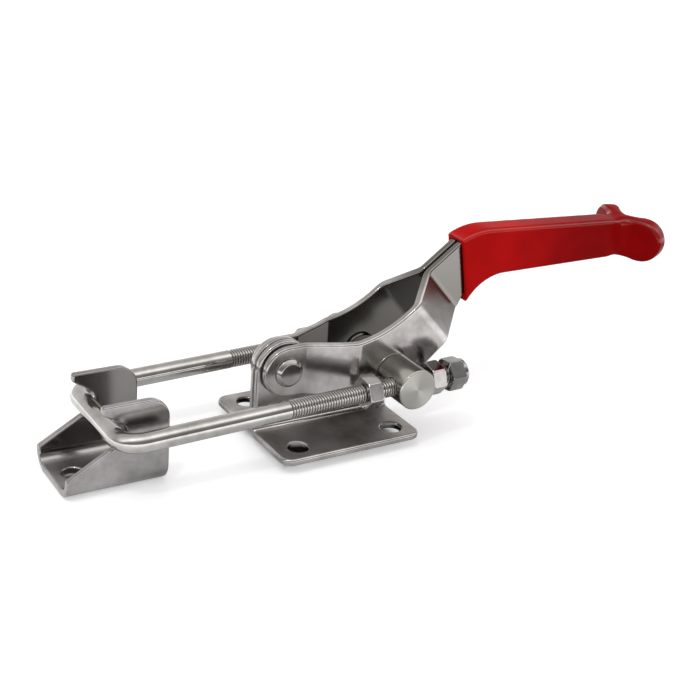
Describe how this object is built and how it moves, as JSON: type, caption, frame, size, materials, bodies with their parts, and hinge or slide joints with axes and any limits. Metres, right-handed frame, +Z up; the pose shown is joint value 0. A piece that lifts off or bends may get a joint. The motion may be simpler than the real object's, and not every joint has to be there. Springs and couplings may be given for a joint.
{
  "type": "over centre toggle latch",
  "caption": "Toggle latch with a long grip, a base with a standing wall, an adjustable U-shaped draw bolt and a hooked keeper that locks past centre.",
  "frame": {"origin": "centre of the base's hole pattern, on the mounting face", "axes": "+X from the keeper to the grip, +Y to the far side, +Z up from the mounting face"},
  "size_m": [0.2941, 0.0686, 0.0852],
  "materials": {
    "sheet_steel": "satin",
    "rod_steel": "polished",
    "turned_steel": "turned",
    "nut_steel": "bright",
    "grip_red": "gloss",
    "nylon": "plain"
  },
  "bodies": {
    "base": {"base_plate_near": "sheet_steel", "base_plate_far": "sheet_steel", "keeper": "sheet_steel"},
    "handle": {"handle_plate_near": "sheet_steel", "handle_plate_far": "sheet_steel", "grip_sleeve": "grip_red", "pivot_rivet": "turned_steel", "pivot_bush": "turned_steel"},
    "draw_bolt": {"draw_bolt": "rod_steel", "trunnion_near": "turned_steel", "trunnion_far": "turned_steel", "front_nut_near": "nut_steel", "front_nut_far": "nut_steel", "rear_nut_near": "nut_steel", "rear_nut_far": "nut_steel", "lock_nut_near": "nut_steel", "lock_nut_far": "nut_steel", "lock_ring_near": "nylon", "lock_ring_far": "nylon"}
  },
  "joints": [
    {"name": "handle_pivot", "type": "hinge", "parent": "base", "child": "handle", "pos_m": [-0.0201, 0, 0.0295], "axis": [0, -1, 0], "range_deg": [0, 85]},
    {"name": "draw_bolt_pivot", "type": "hinge", "parent": "handle", "child": "draw_bolt", "pos_m": [0.0272, 0, 0.0249], "axis": [0, -1, 0], "range_deg": [-56, 0]}
  ],
  "couplings": [
    {"joint": "draw_bolt_pivot", "follows": "handle_pivot", "ratio": -0.655}
  ]
}
